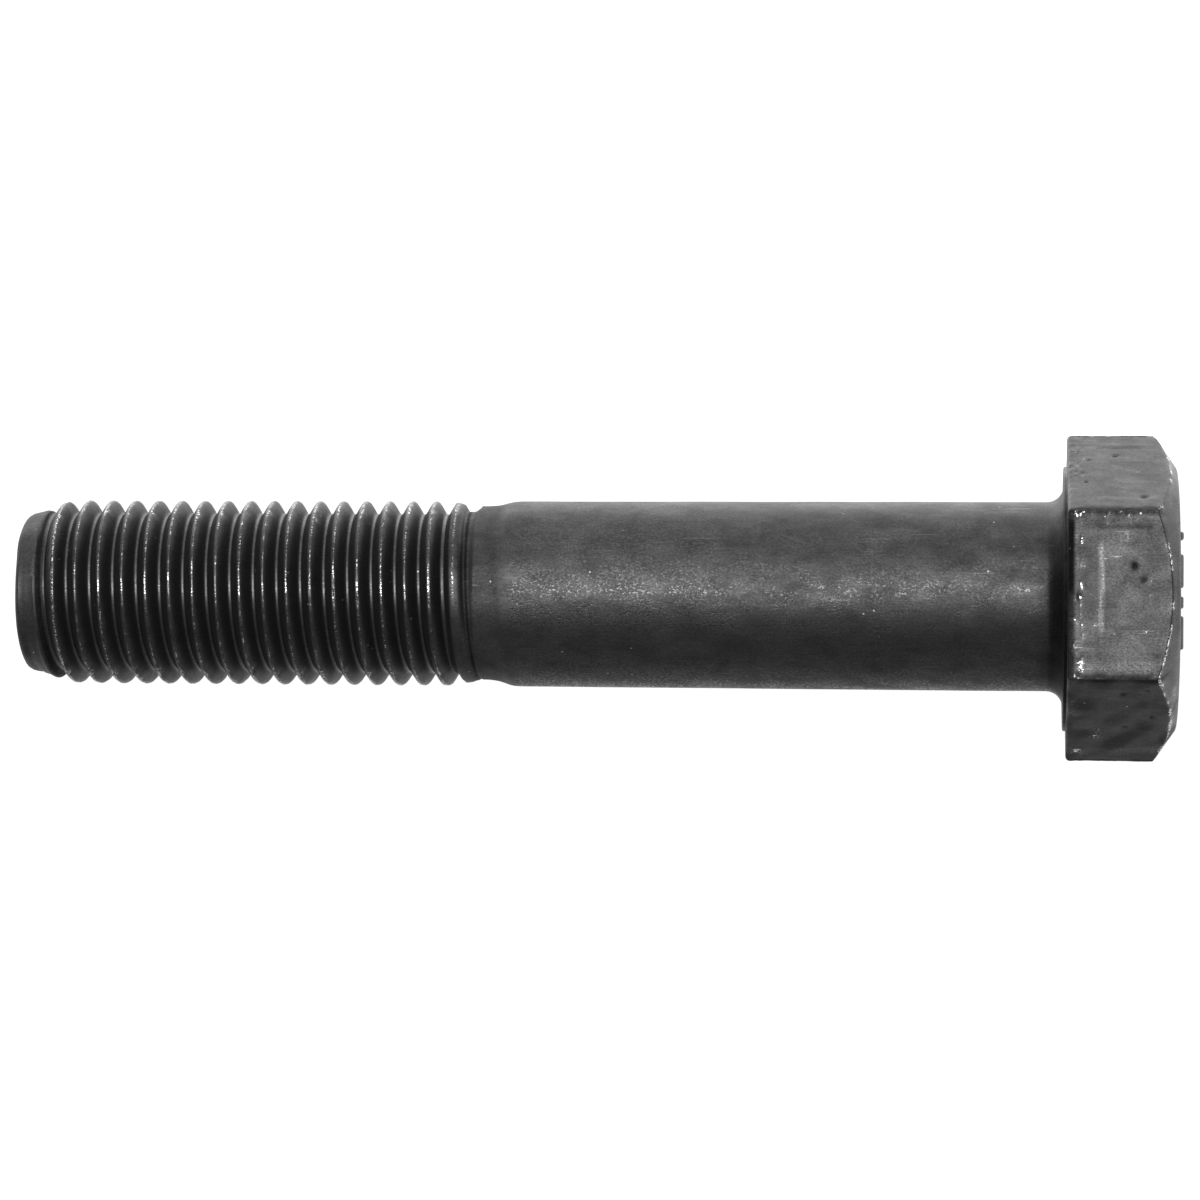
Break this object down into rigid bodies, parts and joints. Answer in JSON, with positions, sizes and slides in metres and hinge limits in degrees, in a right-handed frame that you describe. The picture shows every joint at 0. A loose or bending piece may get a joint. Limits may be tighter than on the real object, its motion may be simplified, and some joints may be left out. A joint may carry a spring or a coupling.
{
  "type": "hex bolt",
  "caption": "Partly threaded hexagon-head bolt with a washer face, plain shank, bare neck before a coarse right-hand thread, chamfered head and plain raised bars.",
  "frame": {"origin": "on the bolt's axis, in the plane of the washer face under the head", "axes": "+X along the axis towards the top of the head, so the thread points to -X; two opposite flats of the hexagon face +Z and -Z, and the bolt lies on the -Z flat"},
  "size_m": [0.1221, 0.0342, 0.0298],
  "materials": {
    "blackened_steel": "black oxide on cold-forged and rolled steel, lightly oiled, semi-matt, scuffed bright on edges and thread crests"
  },
  "bodies": {
    "root": {"hex_bolt": "blackened_steel"}
  },
  "joints": []
}
